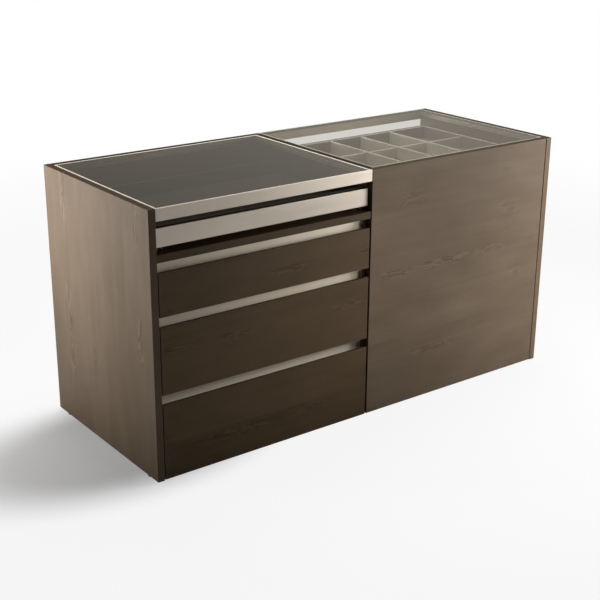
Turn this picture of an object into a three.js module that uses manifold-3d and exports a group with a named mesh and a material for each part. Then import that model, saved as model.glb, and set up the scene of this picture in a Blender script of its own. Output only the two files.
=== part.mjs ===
// Closet island with drawers: two equal modules side by side, the right one turned half round.
// Millimetres, +Z up, origin on the floor under the middle of the body.
import * as THREE from 'three';
import { mergeVertices } from 'three/addons/utils/BufferGeometryUtils.js';
import Module from 'manifold-3d';

const wasm = await Module();
wasm.setup();

// Body
const bodyLength = 1740;
const bodyDepth = 700;
const bodyHeight = 900;
const boardThickness = 25;
const boardEase = 0.8;
const seatGap = 0.3;
const blankPanelGap = 4.5;
const blankEndGap = 3;

// Feet
const footHeight = 6;
const footRadius = 11;
const footNeckRadius = 7;
const footSoleHeight = 4;
const footEase = 1;
const footInset = 65;

// Drawer fronts, from the body's lower edge up to the tray shelf
const frontThickness = 22;
const frontSideGap = 3;
const frontBottomGap = 2;
const frontFlat = 12;
const frontBevelDrop = 14;
const recessHeight = 33;
const upperFrontShare = 0.227;
const middleFrontShare = 0.36;

// Grip profiles: an aluminium channel behind each recess, bent from one sheet
const gripSheet = 1.8;
const gripLipSetback = 2;
const gripBack = 38;
const gripWell = 20;
const gripLipRise = 6;
const gripWellRadius = 13;
const gripLipRadius = 7;

// Tray, between the top frame's front rail and the tray shelf
const trayRailGap = 26;
const trayShelfGap = 18;
const trayFrontHeight = 60;
const trayFrontDepth = 16;
const trayFrontSheet = 2;
const trayFrontEase = 1.2;
const traySetback = 15;
const traySideGap = 2;
const trayWallThickness = 12;
const trayWallRise = 2;
const trayBoxDrop = 10;
const matThickness = 3;

// Divider insert of the right tray
const dividerThickness = 8;
const dividerEase = 3;
const dividerDrop = 1;
const crossStripDrop = 4;
const wideColumn = 182;
const narrowColumns = 4;
const firstRowShare = 0.445;
const secondRowShare = 0.405;

// Sliding boxes and their runners
const boxWallThickness = 16;
const boxWallEase = 3;
const boxSideGap = 5;
const boxRise = 31;
const boxGripGap = 3.2;
const boxFloorRise = 13;
const boxFloorThickness = 8;
const runnerLength = 500;
const runnerSetback = 4;
const runnerSheet = 2;
const runnerHatWidth = 20;
const runnerDrop = 5;
const runnerFlangeRise = 16;
const runnerPlay = 0.5;
const runnerBend = 3;
const railWallThickness = 2.5;
const railWallGap = 1;
const railWallLift = 1;

// Top frame and glass
const topRailHeight = 40;
const topRailOverlap = 3;
const topFrameRim = 7;
const topFrameHeight = 27;
const topFrameWeb = 3;
const topFrameLedge = 11;
const topFrameLedgeThickness = 2.5;
const glassThickness = 6;
const glassEase = 0.6;

const curveSteps = 5;
const easeSteps = 2;
const footSteps = 24;

// Sizes worked out from the ones above, in the module's own frame:
// x from the end panel to the partition, y from the front plane back, z from the body's lower edge
const moduleWidth = (bodyLength - 3 * boardThickness) / 2;
const backPlane = bodyDepth - boardThickness;
const railBottom = bodyHeight - topRailHeight;
const trayFrontTop = railBottom - trayRailGap;
const trayFrontBottom = trayFrontTop - trayFrontHeight;
const shelfTop = trayFrontBottom - trayShelfGap;
const shelfBottom = shelfTop - boardThickness;
const boxStart = frontThickness + seatGap;
const trayBoxStart = traySetback + trayFrontDepth + seatGap;
const trayWallTop = trayFrontTop + trayWallRise;

// Drawer fronts share the height that the bottom gap and the three recesses leave
const frontsHeight = shelfBottom - frontBottomGap - 3 * recessHeight;
const upperFrontHeight = frontsHeight * upperFrontShare;
const middleFrontHeight = frontsHeight * middleFrontShare;
const lowerFrontHeight = frontsHeight - upperFrontHeight - middleFrontHeight;
const middleFrontBottom = frontBottomGap + lowerFrontHeight + recessHeight;
const upperFrontBottom = middleFrontBottom + middleFrontHeight + recessHeight;
const drawers = [
  { level: 'lower', bottom: frontBottomGap, top: frontBottomGap + lowerFrontHeight },
  { level: 'middle', bottom: middleFrontBottom, top: middleFrontBottom + middleFrontHeight },
  { level: 'upper', bottom: upperFrontBottom, top: upperFrontBottom + upperFrontHeight },
];

// Finishes

const finishes = {
  wood: () => new THREE.MeshStandardMaterial({ color: 0x5a4a3d, roughness: 0.6, metalness: 0 }),
  champagne: () => new THREE.MeshStandardMaterial({ color: 0xcfc3b6, roughness: 0.35, metalness: 0.9 }),
  glass: () => new THREE.MeshStandardMaterial({ color: 0x6f7a72, roughness: 0.05, metalness: 0 }),
  boxLining: () => new THREE.MeshStandardMaterial({ color: 0x8c8178, roughness: 0.7, metalness: 0 }),
  trayLining: () => new THREE.MeshStandardMaterial({ color: 0x9a8f84, roughness: 0.75, metalness: 0 }),
  mat: () => new THREE.MeshStandardMaterial({ color: 0x6f675e, roughness: 0.95, metalness: 0 }),
  divider: () => new THREE.MeshStandardMaterial({ color: 0xd9d0c3, roughness: 0.7, metalness: 0 }),
  runnerSteel: () => new THREE.MeshStandardMaterial({ color: 0xa9abac, roughness: 0.4, metalness: 1 }),
  foot: () => new THREE.MeshStandardMaterial({ color: 0x1c1b1a, roughness: 0.8, metalness: 0 }),
};

// Outlines and prisms

function rectangle(a0, a1, b0, b1) {
  const shape = new THREE.Shape();
  shape.moveTo(a0, b0);
  shape.lineTo(a1, b0);
  shape.lineTo(a1, b1);
  shape.lineTo(a0, b1);
  shape.closePath();
  return shape;
}

// An outline through corners [a, b, radius]: a corner with a radius is rounded by a curve
// that starts and ends that far from the corner.
function roundedOutline(corners) {
  const shape = new THREE.Shape();
  corners.forEach(([a, b, radius = 0], i) => {
    const corner = new THREE.Vector2(a, b);
    const before = new THREE.Vector2(...corners.at(i - 1).slice(0, 2));
    const after = new THREE.Vector2(...corners[(i + 1) % corners.length].slice(0, 2));
    const start = before.sub(corner).setLength(radius).add(corner);
    const end = after.sub(corner).setLength(radius).add(corner);
    if (i === 0) {
      shape.moveTo(start.x, start.y);
    } else {
      shape.lineTo(start.x, start.y);
    }
    if (radius > 0) {
      shape.quadraticCurveTo(corner.x, corner.y, end.x, end.y);
    }
  });
  shape.closePath();
  return shape;
}

// A prism between two places on an axis. The outline lies in (y, z) for a prism along x,
// in (x, z) along y, and in (x, y) along z. With an ease, the edges of both end faces are chamfered.
const prismBases = {
  x: new THREE.Matrix4().makeBasis(
    new THREE.Vector3(0, 1, 0), new THREE.Vector3(0, 0, 1), new THREE.Vector3(1, 0, 0)),
  y: new THREE.Matrix4().makeBasis(
    new THREE.Vector3(1, 0, 0), new THREE.Vector3(0, 0, 1), new THREE.Vector3(0, -1, 0)),
  z: new THREE.Matrix4(),
};

function prism(outline, axis, from, to, ease = 0, curveSegments = curveSteps) {
  const geometry = new THREE.ExtrudeGeometry(outline, {
    depth: to - from - 2 * ease,
    bevelEnabled: ease > 0,
    bevelThickness: ease,
    bevelSize: ease,
    bevelOffset: -ease,
    bevelSegments: 1,
    curveSegments,
  });
  geometry.translate(0, 0, ease);
  geometry.applyMatrix4(prismBases[axis]);
  const start = { x: [from, 0, 0], y: [0, to, 0], z: [0, 0, from] }[axis];
  return geometry.translate(...start);
}

// A flat board with eased edges all round both of its large faces, which lie square to the thin axis.
function board([x0, x1], [y0, y1], [z0, z1], thinAxis, ease = boardEase) {
  if (thinAxis === 'x') {
    return prism(rectangle(y0, y1, z0, z1), 'x', x0, x1, ease);
  }
  if (thinAxis === 'y') {
    return prism(rectangle(x0, x1, z0, z1), 'y', y0, y1, ease);
  }
  return prism(rectangle(x0, x1, y0, y1), 'z', z0, z1, ease);
}

function toSolid(geometry) {
  const bare = geometry.clone();
  bare.deleteAttribute('normal');
  bare.deleteAttribute('uv');
  const merged = mergeVertices(bare);
  return new wasm.Manifold(new wasm.Mesh({
    numProp: 3,
    vertProperties: Float32Array.from(merged.attributes.position.array),
    triVerts: Uint32Array.from(merged.index.array),
  }));
}

function join(geometries) {
  const solid = geometries.map(toSolid).reduce((whole, piece) => whole.add(piece));
  const mesh = solid.getMesh();
  const geometry = new THREE.BufferGeometry();
  geometry.setAttribute('position', new THREE.BufferAttribute(mesh.vertProperties, 3));
  geometry.setIndex(new THREE.BufferAttribute(mesh.triVerts, 1));
  geometry.computeVertexNormals();
  return geometry;
}

// Carcass

function endPanel() {
  return board([0, boardThickness], [0, bodyDepth], [0, bodyHeight], 'x');
}

function centrePartition() {
  const low = boardThickness + seatGap;
  return board([0, boardThickness], [low, bodyDepth - low], [0, bodyHeight], 'x');
}

function bottomPanel() {
  const across = [seatGap, moduleWidth - seatGap];
  return board(across, [boxStart, backPlane - seatGap], [0, boardThickness], 'z');
}

function trayShelf() {
  const across = [seatGap, moduleWidth - seatGap];
  return board(across, [0, backPlane - seatGap], [shelfBottom, shelfTop], 'z');
}

// The fixed panel that closes the module's rear and laps the partition's edge.
function blankPanel() {
  const across = [blankEndGap, moduleWidth + boardThickness - blankPanelGap];
  return board(across, [backPlane, bodyDepth], [frontBottomGap, bodyHeight], 'y');
}

function foot() {
  const top = footHeight - seatGap;
  const profile = [
    new THREE.Vector2(0, 0),
    new THREE.Vector2(footRadius - footEase, 0),
    new THREE.Vector2(footRadius, footEase),
    new THREE.Vector2(footRadius, footSoleHeight),
    new THREE.Vector2(footNeckRadius, footSoleHeight),
    new THREE.Vector2(footNeckRadius, top),
    new THREE.Vector2(0, top),
  ];
  return new THREE.LatheGeometry(profile, footSteps).rotateX(Math.PI / 2);
}

// Top frame: one section carried round a rectangle with mitred corners, and the deep front rail.
// The section's points are [inset from the frame's outline, height].
function mitredFrame([x0, x1], [y0, y1], section) {
  const corners = [
    (inset) => [x0 + inset, y0 + inset],
    (inset) => [x1 - inset, y0 + inset],
    (inset) => [x1 - inset, y1 - inset],
    (inset) => [x0 + inset, y1 - inset],
  ];
  const positions = corners.flatMap((corner) => section.flatMap(([inset, z]) => [...corner(inset), z]));
  const index = [];
  corners.forEach((_, c) => {
    const next = (c + 1) % corners.length;
    section.forEach((__, s) => {
      const after = (s + 1) % section.length;
      const a = c * section.length + s;
      const b = next * section.length + s;
      const d = c * section.length + after;
      const e = next * section.length + after;
      index.push(a, e, b, a, d, e);
    });
  });
  const geometry = new THREE.BufferGeometry();
  geometry.setAttribute('position', new THREE.Float32BufferAttribute(positions, 3));
  geometry.setIndex(index);
  return geometry;
}

function topFrame() {
  const rebate = bodyHeight - glassThickness - seatGap;
  const ledgeEnd = topFrameRim + topFrameLedge;
  const section = [
    [0, bodyHeight - topFrameHeight],
    [topFrameWeb, bodyHeight - topFrameHeight],
    [topFrameWeb, rebate - topFrameLedgeThickness],
    [ledgeEnd, rebate - topFrameLedgeThickness],
    [ledgeEnd, rebate],
    [topFrameRim, rebate],
    [topFrameRim, bodyHeight],
    [0, bodyHeight],
  ];
  const ring = mitredFrame([seatGap, moduleWidth - seatGap], [0, backPlane - seatGap], section);
  const across = [seatGap, moduleWidth + topRailOverlap];
  const frontRail = board(across, [0, topFrameRim], [railBottom, bodyHeight], 'y', boardEase);
  return join([ring, frontRail]);
}

function glassTop() {
  const inset = topFrameRim + seatGap;
  const across = [seatGap + inset, moduleWidth - seatGap - inset];
  const along = [inset, backPlane - seatGap - inset];
  return board(across, along, [bodyHeight - glassThickness, bodyHeight], 'z', glassEase);
}

// Grip profile behind the recess whose lower edge is the top of the drawer front under it.
// The well gives the fingers room behind the front's bevelled top edge.
function gripProfile(frontTop, lipTop) {
  const lip = frontThickness + gripLipSetback;
  const well = frontTop - gripWell;
  const outer = gripBack + gripSheet;
  const section = roundedOutline([
    [lip, well - gripSheet],
    [outer, well - gripSheet, gripWellRadius + gripSheet],
    [outer, lipTop + gripSheet, gripLipRadius + gripSheet],
    [lip, lipTop + gripSheet],
    [lip, lipTop],
    [gripBack, lipTop, gripLipRadius],
    [gripBack, well, gripWellRadius],
    [lip, well],
  ]);
  return prism(section, 'x', seatGap, moduleWidth - seatGap);
}

// Sliding units

function drawerFront({ bottom, top }) {
  const section = roundedOutline([
    [0, bottom, boardEase],
    [frontThickness, bottom, boardEase],
    [frontThickness, top - frontBevelDrop, boardEase],
    [frontFlat, top, boardEase],
    [0, top, boardEase],
  ]);
  return prism(section, 'x', frontSideGap, moduleWidth - frontSideGap, 0, easeSteps);
}

function trayFront() {
  const near = traySetback;
  const far = traySetback + trayFrontDepth;
  const section = roundedOutline([
    [near, trayFrontBottom, trayFrontEase],
    [far, trayFrontBottom],
    [far, trayFrontBottom + trayFrontSheet],
    [near + trayFrontSheet, trayFrontBottom + trayFrontSheet],
    [near + trayFrontSheet, trayFrontTop - trayFrontSheet],
    [far, trayFrontTop - trayFrontSheet],
    [far, trayFrontTop],
    [near, trayFrontTop, trayFrontEase],
  ]);
  return prism(section, 'x', traySideGap, moduleWidth - traySideGap, 0, easeSteps);
}

// The walls of the rail under a box stand either side of the runner's hat section.
function hatStart(wall) {
  return boxSideGap + wall + railWallGap + railWallThickness + runnerPlay;
}

// A box: one section of two walls, floor and rail walls along y, closed by a board at each end.
function slidingBox({ wall, bottom, top, start }) {
  const under = bottom + boxFloorRise;
  const floor = under + boxFloorThickness;
  const low = boxSideGap;
  const innerLow = low + wall;
  const hat = hatStart(wall);
  const innerRail = hat - runnerPlay;
  const outerRail = hat + runnerHatWidth + runnerPlay;
  const railFoot = bottom + railWallLift;
  const half = [
    [innerLow, under],
    [innerRail - railWallThickness, under],
    [innerRail - railWallThickness, railFoot],
    [innerRail, railFoot],
    [innerRail, under],
    [outerRail, under],
    [outerRail, railFoot],
    [outerRail + railWallThickness, railFoot],
    [outerRail + railWallThickness, under],
  ];
  const mirrored = half.map(([x, z]) => [moduleWidth - x, z]).reverse();
  const section = roundedOutline([
    [low, bottom],
    [innerLow, bottom],
    ...half,
    ...mirrored,
    [moduleWidth - innerLow, bottom],
    [moduleWidth - low, bottom],
    [moduleWidth - low, top, boxWallEase],
    [moduleWidth - innerLow, top, boxWallEase],
    [moduleWidth - innerLow, floor],
    [innerLow, floor],
    [innerLow, top, boxWallEase],
    [low, top, boxWallEase],
  ]);
  const end = start + runnerLength;
  const across = [innerLow - wall / 2, moduleWidth - innerLow + wall / 2];
  const endBoard = (y0, y1) => prism(roundedOutline([
    [y0, under],
    [y1, under],
    [y1, top, boxWallEase],
    [y0, top, boxWallEase],
  ]), 'x', ...across);
  return join([
    prism(section, 'y', start, end),
    endBoard(start, start + wall),
    endBoard(end - wall, end),
  ]);
}

// Cabinet runner: a steel sheet bent to a flange on the panel, a web under the box's wall
// and a hat section on which the box rides.
function cabinetRunner({ wall, bottom, start }, atPartition) {
  const base = bottom - runnerDrop;
  const hat = hatStart(wall);
  const hatEnd = hat + runnerHatWidth;
  const hatTop = bottom + boxFloorRise - runnerPlay;
  const inBend = runnerBend - runnerSheet;
  const corners = [
    [seatGap, base],
    [hat + runnerSheet, base],
    [hat + runnerSheet, hatTop - runnerSheet, inBend],
    [hatEnd - runnerSheet, hatTop - runnerSheet, inBend],
    [hatEnd - runnerSheet, base],
    [hatEnd, base],
    [hatEnd, hatTop, runnerBend],
    [hat, hatTop, runnerBend],
    [hat, base + runnerSheet],
    [seatGap + runnerSheet, base + runnerSheet],
    [seatGap + runnerSheet, bottom + runnerFlangeRise],
    [seatGap, bottom + runnerFlangeRise],
  ];
  const placed = corners.map(([x, z, bend]) => [atPartition ? moduleWidth - x : x, z, bend]);
  return prism(roundedOutline(placed), 'y', start + runnerSetback, start + runnerLength, 0, easeSteps);
}

function trayMat() {
  const inset = boxSideGap + trayWallThickness + seatGap;
  const along = [
    trayBoxStart + trayWallThickness + seatGap,
    trayBoxStart + runnerLength - trayWallThickness - seatGap,
  ];
  const low = trayFrontBottom - trayBoxDrop + boxFloorRise + boxFloorThickness + seatGap;
  return board([inset, moduleWidth - inset], along, [low, low + matThickness], 'z', boardEase);
}

// Divider insert: upright strips crossing like an egg crate, with rounded top edges, the cross
// strips a little lower. The columns run from the tray's front to the second cross strip, and the
// slot behind it is undivided.
function trayDividers() {
  const low = trayFrontBottom - trayBoxDrop + boxFloorRise + boxFloorThickness
    + matThickness + 2 * seatGap;
  const top = trayWallTop - dividerDrop;
  const x0 = boxSideGap + trayWallThickness + seatGap;
  const x1 = moduleWidth - x0;
  const y0 = trayBoxStart + trayWallThickness + seatGap;
  const y1 = trayBoxStart + runnerLength - trayWallThickness - seatGap;
  const strip = (at, height) => roundedOutline([
    [at, low],
    [at + dividerThickness, low],
    [at + dividerThickness, height, dividerEase],
    [at, height, dividerEase],
  ]);
  const crossTop = top - crossStripDrop;
  const firstCross = y0 + (y1 - y0) * firstRowShare;
  const secondCross = firstCross + (y1 - y0) * secondRowShare;
  const pitch = (x1 - x0 - wideColumn) / narrowColumns;
  const columns = Array.from({ length: narrowColumns }, (_, i) => x0 + wideColumn + i * pitch);
  return join([
    prism(strip(firstCross, crossTop), 'x', x0, x1),
    prism(strip(secondCross, crossTop), 'x', x0, x1),
    ...columns.map((at) => prism(strip(at, top), 'y', y0, secondCross + dividerThickness / 2)),
  ]);
}

// Assembly

function piece(name, geometry, finish) {
  const mesh = new THREE.Mesh(geometry, finishes[finish]());
  mesh.name = name;
  return mesh;
}

function slidingUnit(side, unit, box, finish) {
  return [
    piece(`${unit}_box_${side}`, slidingBox(box), finish),
    piece(`${unit}_runner_${side}_end`, cabinetRunner(box, false), 'runnerSteel'),
    piece(`${unit}_runner_${side}_partition`, cabinetRunner(box, true), 'runnerSteel'),
  ];
}

function closetModule(side) {
  const group = new THREE.Group();
  group.add(
    piece(`bottom_panel_${side}`, bottomPanel(), 'wood'),
    piece(`tray_shelf_${side}`, trayShelf(), 'wood'),
    piece(`blank_panel_${side}`, blankPanel(), 'wood'),
    piece(`top_frame_${side}`, topFrame(), 'champagne'),
    piece(`glass_top_${side}`, glassTop(), 'glass'),
  );
  drawers.forEach((drawer, i) => {
    const recessTop = drawer.top + recessHeight;
    const underShelf = i === drawers.length - 1;
    const lipTop = underShelf ? recessTop - gripSheet - seatGap : recessTop + gripLipRise;
    const box = {
      wall: boxWallThickness,
      bottom: drawer.bottom + boxRise,
      top: drawer.top - gripWell - gripSheet - boxGripGap,
      start: boxStart,
    };
    group.add(
      piece(`grip_profile_${side}_${drawer.level}`, gripProfile(drawer.top, lipTop), 'champagne'),
      piece(`drawer_${drawer.level}_front_${side}`, drawerFront(drawer), 'wood'),
      ...slidingUnit(side, `drawer_${drawer.level}`, box, 'boxLining'),
    );
  });
  const trayBox = {
    wall: trayWallThickness,
    bottom: trayFrontBottom - trayBoxDrop,
    top: trayWallTop,
    start: trayBoxStart,
  };
  group.add(
    piece(`tray_front_${side}`, trayFront(), 'champagne'),
    piece(`tray_mat_${side}`, trayMat(), 'mat'),
    ...slidingUnit(side, 'tray', trayBox, 'trayLining'),
  );
  return group;
}

function placed(mesh, x, y, z) {
  mesh.position.set(x, y, z);
  return mesh;
}

const island = new THREE.Group();
const endX = bodyLength / 2;
const frontY = -bodyDepth / 2;

island.add(
  placed(piece('end_panel_left', endPanel(), 'wood'), -endX, frontY, footHeight),
  placed(piece('end_panel_right', endPanel(), 'wood'), endX - boardThickness, frontY, footHeight),
  placed(piece('centre_partition', centrePartition(), 'wood'), -boardThickness / 2, frontY, footHeight),
);

const footColumns = [
  ['left', -endX + boardThickness / 2],
  ['middle', 0],
  ['right', endX - boardThickness / 2],
];
const footRows = [
  ['front', frontY + footInset],
  ['rear', -frontY - footInset],
];
footColumns.forEach(([column, x]) => {
  footRows.forEach(([row, y]) => {
    island.add(placed(piece(`foot_${row}_${column}`, foot(), 'foot'), x, y, 0));
  });
});

const leftModule = closetModule('left');
leftModule.position.set(-endX + boardThickness, frontY, footHeight);
const rightModule = closetModule('right');
rightModule.add(piece('tray_dividers_right', trayDividers(), 'divider'));
rightModule.position.set(endX - boardThickness, -frontY, footHeight);
rightModule.rotation.z = Math.PI;
island.add(leftModule, rightModule);

export default island;
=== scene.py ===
"""Looks of a closet island with drawers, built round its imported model. Lengths are in metres."""
import math

import bmesh
import bpy
import numpy as np
from bpy.props import FloatProperty, FloatVectorProperty, PointerProperty
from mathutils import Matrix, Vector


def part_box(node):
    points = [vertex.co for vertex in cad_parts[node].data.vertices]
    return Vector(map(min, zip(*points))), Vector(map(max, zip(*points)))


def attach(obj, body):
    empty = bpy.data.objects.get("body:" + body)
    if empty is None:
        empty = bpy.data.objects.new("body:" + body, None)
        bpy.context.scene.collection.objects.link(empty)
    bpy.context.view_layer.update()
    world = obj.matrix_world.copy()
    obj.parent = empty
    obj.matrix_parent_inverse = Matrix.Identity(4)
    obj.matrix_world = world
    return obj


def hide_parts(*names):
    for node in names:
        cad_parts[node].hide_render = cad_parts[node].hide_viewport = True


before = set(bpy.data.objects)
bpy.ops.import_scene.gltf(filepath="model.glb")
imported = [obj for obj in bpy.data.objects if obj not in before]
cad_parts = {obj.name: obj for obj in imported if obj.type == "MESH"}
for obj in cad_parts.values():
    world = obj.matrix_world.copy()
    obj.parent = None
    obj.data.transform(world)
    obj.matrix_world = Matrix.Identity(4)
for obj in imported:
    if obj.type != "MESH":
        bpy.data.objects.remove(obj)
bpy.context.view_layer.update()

bl_info = {
    "name": "Closet Island Finishes",
    "version": (1, 0, 0),
    "blender": (4, 5, 0),
    "location": "View3D > Sidebar > Island",
    "description": "Dresses a closet island: stained veneer, champagne metal, tinted glass and lined trays",
    "category": "Object",
}

SIDES = ("left", "right")
LEVELS = ("lower", "middle", "upper")
UNITS = (*(f"drawer_{level}" for level in LEVELS), "tray")
RUNNER_PLACES = ("end", "partition")
# Sense along y from a module's open side towards its back
INWARD = {"left": 1.0, "right": -1.0}
WHITE = (1.0, 1.0, 1.0, 1.0)

# Settings


class VeneerSettings(bpy.types.PropertyGroup):
    light: FloatVectorProperty(
        name="Light grain", description="Colour of the veneer's light grain", subtype="COLOR", size=3, min=0,
        max=1, default=(0.214, 0.158, 0.108))
    dark: FloatVectorProperty(
        name="Dark grain", description="Colour of the veneer's dark grain", subtype="COLOR", size=3, min=0,
        max=1, default=(0.116, 0.08, 0.048))
    # Painted shade: the drawer fronts, shelf edges and bottom panels get a darker copy of the veneer for the
    # shade on them
    painted_shade_front_light: FloatVectorProperty(
        name="Light front grain", description="Colour of the drawer fronts' light grain", subtype="COLOR",
        size=3, min=0, max=1, default=(0.127, 0.082, 0.043))
    painted_shade_front_dark: FloatVectorProperty(
        name="Dark front grain", description="Colour of the drawer fronts' dark grain", subtype="COLOR",
        size=3, min=0, max=1, default=(0.066, 0.041, 0.0184))
    roughness: FloatProperty(
        name="Roughness", description="Roughness of the matt lacquer", subtype="FACTOR", min=0, max=1,
        default=0.55)
    gloss: FloatProperty(
        name="Gloss", description="How much the lacquer mirrors", subtype="FACTOR", min=0, max=1,
        default=0.16)
    relief: FloatProperty(
        name="Relief", description="Depth of the open pores", unit="LENGTH", min=0, max=0.001,
        default=0.00025)
    # Painted highlight: the paler line along each edge
    painted_edge_highlight_width: FloatProperty(
        name="Edge width", description="Width of the paler line along each edge", unit="LENGTH", min=0,
        max=0.01, default=0.0012)


class MetalSettings(bpy.types.PropertyGroup):
    champagne: FloatVectorProperty(
        name="Champagne", description="Colour of the anodised aluminium", subtype="COLOR", size=3, min=0,
        max=1, default=(0.72, 0.635, 0.535))
    channel_metal: FloatProperty(
        name="Channel metal", description="Share of bare metal in the bead-blasted grip channels",
        subtype="FACTOR", min=0, max=1, default=0.1)
    # Painted highlight: the channels' champagne is lighter than the rails', standing in for light in their
    # recesses
    channel: FloatVectorProperty(
        name="Channel", description="Colour of the bead-blasted grip channels", subtype="COLOR", size=3,
        min=0, max=1, default=(0.98, 0.85, 0.68))
    champagne_roughness: FloatProperty(
        name="Satin roughness", description="Roughness of the anodised aluminium", subtype="FACTOR", min=0,
        max=1, default=0.32)
    steel: FloatVectorProperty(
        name="Zinc", description="Colour of the plated runners", subtype="COLOR", size=3, min=0, max=1,
        default=(0.3, 0.3, 0.3))
    steel_roughness: FloatProperty(
        name="Zinc roughness", description="Roughness of the plated runners", subtype="FACTOR", min=0, max=1,
        default=0.34)


class GlassSettings(bpy.types.PropertyGroup):
    tint: FloatVectorProperty(
        name="Tint", description="What one face of the glass lets through", subtype="COLOR", size=3, min=0,
        max=1, default=(0.87, 0.868, 0.842))
    edge_tint: FloatVectorProperty(
        name="Edge tint", description="What the polished edge lets through", subtype="COLOR", size=3, min=0,
        max=1, default=(0.3, 0.42, 0.36))
    bend: FloatProperty(
        name="Refractive index", description="Refractive index that sets the mirror share", min=1, max=2,
        default=1.52)
    seal: FloatVectorProperty(
        name="Seal", description="Colour of the rubber strip under the glass", subtype="COLOR", size=3,
        min=0, max=1, default=(0.022, 0.02, 0.019))


class LiningSettings(bpy.types.PropertyGroup):
    box: FloatVectorProperty(
        name="Box lining", description="Colour of the drawer boxes' textile-grained faces", subtype="COLOR",
        size=3, min=0, max=1, default=(0.27, 0.235, 0.2))
    tray: FloatVectorProperty(
        name="Divided tray lining", description="Colour of the divided tray's leather-look covering",
        subtype="COLOR", size=3, min=0, max=1, default=(0.28, 0.245, 0.205))
    felt: FloatVectorProperty(
        name="Divided tray felt", description="Colour of the divided tray's felt mat", subtype="COLOR",
        size=3, min=0, max=1, default=(0.24, 0.205, 0.17))
    # Painted shade: the open tray's covering and felt are near black for the shadow inside it
    open_tray_painted_shade: FloatVectorProperty(
        name="Open tray lining", description="Colour of the open tray's leather-look covering",
        subtype="COLOR", size=3, min=0, max=1, default=(0.02, 0.016, 0.012))
    open_felt_painted_shade: FloatVectorProperty(
        name="Open tray felt", description="Colour of the open tray's felt mat", subtype="COLOR", size=3,
        min=0, max=1, default=(0.022, 0.018, 0.013))
    divider: FloatVectorProperty(
        name="Dividers", description="Colour of the dividers' leather-look covering", subtype="COLOR",
        size=3, min=0, max=1, default=(0.85, 0.8, 0.71))
    felt_nap: FloatProperty(
        name="Felt nap", description="Height of the felt's nap", unit="LENGTH", min=0, max=0.002,
        default=0.0006)


class StageSettings(bpy.types.PropertyGroup):
    lens: FloatProperty(
        name="Lens", description="Focal length of the camera", unit="CAMERA", min=1, max=300, default=70.505)
    right: FloatProperty(
        name="Right lamp", description="Power of the lamp at the front right", unit="POWER", min=0,
        default=21.0)
    front: FloatProperty(
        name="Front lamp", description="Power of the narrow lamp on the left module's grips", unit="POWER",
        min=0, default=0.43)
    left: FloatProperty(
        name="Left lamp", description="Power of the lamp at the rear left", unit="POWER", min=0, default=11.1)
    overhead: FloatProperty(
        name="Overhead lamp", description="Power of the wide lamp above", unit="POWER", min=0, default=82)
    sky: FloatProperty(
        name="Surround", description="Strength of the even light from all round", min=0, max=2, default=0.005)
    mirrored: FloatProperty(
        name="Mirrored wall, right", description="Brightness of the mirrored wall at its right end", min=0,
        max=1, default=0.5)
    mirrored_left: FloatProperty(
        name="Mirrored wall, left", description="Brightness of the mirrored wall at its left end", min=0,
        max=1, default=0.3)
    studio: FloatProperty(
        name="Mirrored studio", description="Brightness of the studio before the object in metal and glass",
        min=0, max=1, default=0.0)


class IslandSettings(bpy.types.PropertyGroup):
    veneer: PointerProperty(type=VeneerSettings)
    metal: PointerProperty(type=MetalSettings)
    glass: PointerProperty(type=GlassSettings)
    lining: PointerProperty(type=LiningSettings)
    stage: PointerProperty(type=StageSettings)


# Materials


# Sockets of each kind of mix node: the two that it blends, and the blend
MIX_SOCKETS = {"RGBA": (6, 7, 2), "VECTOR": (4, 5, 1)}


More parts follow.
